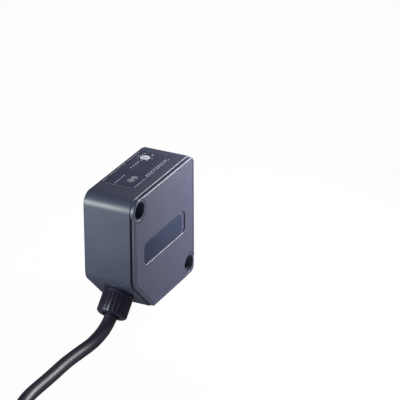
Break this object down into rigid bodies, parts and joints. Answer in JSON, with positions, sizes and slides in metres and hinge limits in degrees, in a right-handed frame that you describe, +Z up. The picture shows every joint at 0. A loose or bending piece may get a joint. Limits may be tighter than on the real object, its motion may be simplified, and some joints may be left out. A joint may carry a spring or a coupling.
{
  "type": "infrared gate photocell",
  "caption": "Flat square infrared gate photocell with a cut lower corner, a ribbed cable gland, a top panel with an adjuster, and its coiled cable.",
  "frame": {"origin": "middle of the flat left-hand side that lies against the post, halfway between the two mounting holes", "axes": "+X out of the left-hand side towards the post, -Y the way the window looks, +Z up towards the panel with the adjuster"},
  "size_m": [0.0605, 0.1865, 0.0592],
  "materials": {
    "case_plastic": "fine satin",
    "cover_plastic": "fine satin",
    "dark_window": "polished, very dark red-brown",
    "clear_lens": "polished, clear",
    "black_plastic": "satin",
    "panel_film": "satin print",
    "blue_film": "satin print",
    "white_plastic": "smooth",
    "green_board": "solder mask",
    "relay_blue": "moulded",
    "capacitor_sleeve": "shrunk sleeve",
    "capacitor_yellow": "moulded",
    "varistor_blue": "dipped",
    "ferrite": "dull",
    "chip_black": "moulded",
    "indicator_green": "clear tinted",
    "indicator_orange": "clear tinted",
    "clear_guide": "polished, clear",
    "seal_rubber": "dull",
    "cable_sheath": "satin",
    "tie_plastic": "satin",
    "wire_brown": "satin",
    "wire_blue": "satin",
    "wire_white": "satin",
    "wire_black": "satin",
    "wire_grey": "satin",
    "tinned_copper": "tinned"
  },
  "bodies": {
    "photocell": {"case": "case_plastic", "side_cover": "cover_plastic", "cover_seal": "seal_rubber", "gland_seal": "seal_rubber", "side_label": "blue_film", "top_panel": "panel_film", "front_window": "dark_window", "lens": "clear_lens", "lens_holder": "black_plastic", "adjuster_body": "black_plastic", "gland_body": "black_plastic", "gland_nut": "black_plastic", "sensor_board": "green_board", "main_board": "green_board", "control_board": "green_board", "infrared_emitter": "clear_guide", "operation_light_guide": "clear_guide", "stability_light_guide": "clear_guide", "photodiode": "chip_black", "power_chip": "chip_black", "signal_chip": "chip_black", "relay": "relay_blue", "film_capacitor": "capacitor_yellow", "varistor": "varistor_blue", "smoothing_capacitor": "capacitor_sleeve", "choke": "ferrite", "wire_header": "white_plastic", "operation_indicator": "indicator_orange", "stability_indicator": "indicator_green", "cable_clamp": "tinned_copper", "inner_cable": "cable_sheath", "cable_run": "cable_sheath", "cable_coil": "cable_sheath", "cable_tail": "cable_sheath", "coil_tie": "tie_plastic", "brown_wire": "wire_brown", "brown_lead": "wire_brown", "brown_lead_tip": "tinned_copper", "blue_wire": "wire_blue", "blue_lead": "wire_blue", "blue_lead_tip": "tinned_copper", "white_wire": "wire_white", "white_lead": "wire_white", "white_lead_tip": "tinned_copper", "black_wire": "wire_black", "black_lead": "wire_black", "black_lead_tip": "tinned_copper", "grey_wire": "wire_grey", "grey_lead": "wire_grey", "grey_lead_tip": "tinned_copper"},
    "adjuster": {"adjuster_rotor": "white_plastic"}
  },
  "joints": [
    {"name": "adjuster_turn", "type": "hinge", "parent": "photocell", "child": "adjuster", "pos_m": [-0.0059, -0.0138, 0.0251], "axis": [0, 0, 1], "range_deg": [-135, 135]}
  ]
}
